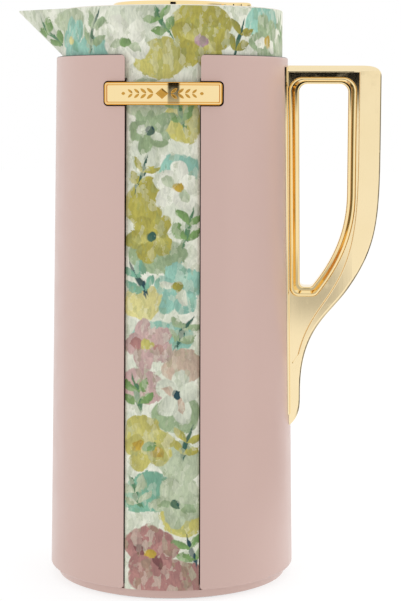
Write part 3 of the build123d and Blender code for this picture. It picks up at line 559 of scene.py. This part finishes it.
def raised_shape(vertices, faces, along, up, outline):
    """Adds one low raised shape, curved round the jug; outline is (along, up) in millimetres."""
    start = len(vertices)
    floor_r = BADGE_R / MM - PANEL_DEPTH - ROOTED
    levels = [(floor_r, 1.0), (floor_r + 0.6 * RAISED, 0.94), (floor_r + RAISED, 0.6)]
    for radius, shrink in levels:
        for u, v in outline:
            turn = (along + u * shrink) / floor_r
            height = BADGE_Z / MM + up + v * shrink
            vertices.append((radius * math.sin(turn) * MM, -radius * math.cos(turn) * MM, height * MM))
    count = len(outline)
    for level in (0, 1):
        for i in range(count):
            low, high = start + level * count, start + (level + 1) * count
            faces.append((low + i, low + (i + 1) % count, high + (i + 1) % count, high + i))
    faces.append([start + 2 * count + i for i in range(count)])


def leaf_outline(half_long, half_wide, turn):
    """Pointed leaf as points round its middle."""
    points = []
    count = 14
    cos_turn, sin_turn = math.cos(math.radians(turn)), math.sin(math.radians(turn))
    for i in range(count):
        t = 2 * math.pi * i / count
        u, v = half_long * math.cos(t), half_wide * math.sin(t) * abs(math.sin(t)) ** 0.6
        points.append((u * cos_turn - v * sin_turn, u * sin_turn + v * cos_turn))
    return points


def add_ornament():
    """A lozenge with leaves in pairs either side of it, and a small bead at each end."""
    vertices, faces = [], []
    wide, high = LOZENGE
    raised_shape(vertices, faces, 0, 0, [(-wide, 0), (0, -high), (wide, 0), (0, high)])
    for side in (-1, 1):
        for i in range(LEAVES):
            along = side * (LEAF_START + LEAF_STEP * i)
            for half in (-1, 1):
                leaf = leaf_outline(2.0 - 0.16 * i, 0.8 - 0.06 * i, side * half * LEAF_TURN)
                raised_shape(vertices, faces, along, half * (1.35 - 0.1 * i), leaf)
        raised_shape(vertices, faces, side * BEAD_AT, 0, leaf_outline(1.0, 0.8, 0))
    mesh = bpy.data.meshes.new("badge_ornament")
    mesh.from_pydata(vertices, [], faces)
    mesh.materials.append(gold("worn_gold", 0.16, WORN_GOLD))
    ornament = bpy.data.objects.new("badge_ornament", mesh)
    SCENE.collection.objects.link(ornament)
    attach(ornament, "jug")


add_ornament()


# ---- studio -------------------------------------------------------------------------------------
CAMERA_ROUND = 4.75                     # degrees round the jug from its front, towards the handle
CAMERA_YAW, CAMERA_PITCH, CAMERA_ROLL = 0.959, 6.34, 0.188
CAMERA_DISTANCE, CAMERA_HEIGHT = 884.884 * MM, 241.468 * MM
CAMERA_LENS = 102.23
FLOOR_REACH = 6.0
FLOOR_GAP = 0.2 * MM
CARD_BLACK = 0.004


def turned(one, other, degrees):
    """Two directions at right angles, both turned from the first towards the second."""
    cosine, sine = math.cos(math.radians(degrees)), math.sin(math.radians(degrees))
    return one * cosine + other * sine, other * cosine - one * sine


def add_camera():
    """Camera of a tall product shot, a little to the handle's side and tipped slightly down."""
    sine, cosine = math.sin(math.radians(CAMERA_ROUND)), math.cos(math.radians(CAMERA_ROUND))
    forward, right, up = Vector((-sine, cosine, 0)), Vector((cosine, sine, 0)), Vector((0, 0, 1))
    forward, right = turned(forward, right, CAMERA_YAW)
    forward, up = turned(forward, up, -CAMERA_PITCH)
    right, up = turned(right, up, CAMERA_ROLL)
    place = Vector((sine * CAMERA_DISTANCE, -cosine * CAMERA_DISTANCE, CAMERA_HEIGHT))
    lens = bpy.data.cameras.new("camera")
    lens.sensor_width = 36
    lens.lens = CAMERA_LENS
    lens.clip_start = 0.05
    camera = bpy.data.objects.new("camera", lens)
    facing = Matrix((right, up, -forward)).transposed().to_4x4()
    camera.matrix_world = Matrix.Translation(place) @ facing
    SCENE.collection.objects.link(camera)
    SCENE.camera = camera
    return place


def add_world():
    """White tent: plain white behind, softly uneven where it lights and reflects."""
    world = bpy.data.worlds.new("tent")
    world.use_nodes = True
    SCENE.world = world
    sh = Shader(world.node_tree)
    out = world.node_tree.nodes["Background"]
    _, _, z = sh.split(sh.add("TexCoord").outputs["Generated"])
    tent = sh.mix(sh.smooth(z, -0.2, 0.9), (0.80, 0.80, 0.82, 1), (0.95, 0.95, 0.95, 1))
    ray = sh.add("LightPath").outputs
    mirrored = sh.mix(ray["Is Glossy Ray"], tent, (1.0, 1.0, 0.99, 1.0))
    sh.put(out.inputs["Color"], sh.mix(ray["Is Camera Ray"], mirrored, (1.0, 1.0, 1.0, 1.0)))


def rectangle(half_wide, half_high):
    """Corners of a flat rectangle round the origin."""
    signs = ((-1, -1), (1, -1), (1, 1), (-1, 1))
    return [(across * half_wide, along * half_high, 0) for across, along in signs]


def add_floor():
    """Pale floor that takes a faint contact shadow."""
    mesh = bpy.data.meshes.new("floor")
    mesh.from_pydata(rectangle(FLOOR_REACH, FLOOR_REACH), [], [(0, 1, 2, 3)])
    floor = bpy.data.objects.new("floor", mesh)
    floor.location.z = cad_low.z - FLOOR_GAP
    SCENE.collection.objects.link(floor)
    made, _, surface = material("pale_floor", Roughness=0.9)
    surface.inputs["Specular IOR Level"].default_value = 0.0
    surface.inputs["Base Color"].default_value = (0.3, 0.3, 0.3, 1)
    surface.inputs["Emission Color"].default_value = (1, 1, 1, 1)
    surface.inputs["Emission Strength"].default_value = 0.74
    mesh.materials.append(made)


def add_card(name, centre, width, height, facing, fade, cover=1.0):
    """Black card that only reflections see, fading out towards its edges."""
    mesh = bpy.data.meshes.new(name)
    half_wide, half_high = width / 2, height / 2
    mesh.from_pydata(rectangle(half_wide, half_high), [], [(0, 1, 2, 3)])
    made, sh, surface = material(name + "_black", Roughness=1.0)
    surface.inputs["Base Color"].default_value = (CARD_BLACK, CARD_BLACK, CARD_BLACK, 1)
    surface.inputs["Specular IOR Level"].default_value = 0.0
    x, y, _ = sh.split(sh.place())
    across = sh.smooth(sh.math("ABSOLUTE", x), half_wide, half_wide - fade)
    along = sh.smooth(sh.math("ABSOLUTE", y), half_high, half_high - fade)
    sh.put(surface.inputs["Alpha"], sh.math("MULTIPLY", sh.math("MULTIPLY", across, along), cover))
    mesh.materials.append(made)
    card = bpy.data.objects.new(name, mesh)
    card.location = centre
    card.rotation_mode = "QUATERNION"
    card.rotation_quaternion = Vector(facing).to_track_quat("Z", "Y")
    card.visible_camera = False
    card.visible_diffuse = False
    card.visible_shadow = False
    card.visible_transmission = False
    SCENE.collection.objects.link(card)


def add_light(name, centre, width, height, power, aim):
    """Soft box that lights without showing in the gold."""
    lamp = bpy.data.lights.new(name, "AREA")
    lamp.shape = "RECTANGLE"
    lamp.size = width
    lamp.size_y = height
    lamp.energy = power
    light = bpy.data.objects.new(name, lamp)
    light.location = centre
    light.rotation_mode = "QUATERNION"
    light.rotation_quaternion = (Vector(aim) - Vector(centre)).to_track_quat("-Z", "Y")
    light.visible_glossy = False
    SCENE.collection.objects.link(light)


camera_place = add_camera()
add_world()
add_floor()
middle = (0, 0, cad_high.z / 2)
add_card("lens_gap", (0.09, camera_place.y, 0.533), 0.2, 0.6, (0, 1, 0), 0.035)
add_card("low_gap", (0.075, camera_place.y, 0.06), 0.1, 0.1, (0, 1, 0), 0.04, 0.45)
add_card("side_gap", (0.42, 0.14, 0.08), 0.64, 0.66, (-1, -0.15, 0), 0.17, 0.8)
add_card("table_gap", (0.40, 0.06, 0.002), 0.52, 0.5, (0, 0, 1), 0.16, 0.8)
add_light("left_box", (-0.9, -0.5, 0.45), 0.5, 1.1, 1.2, middle)
add_light("right_box", (1.05, 0.3, 0.45), 0.5, 1.1, 3.9, middle)
add_light("top_box", (0.0, 0.1, 1.2), 0.9, 0.9, 1.0, middle)
SCENE.view_settings.view_transform = "Standard"
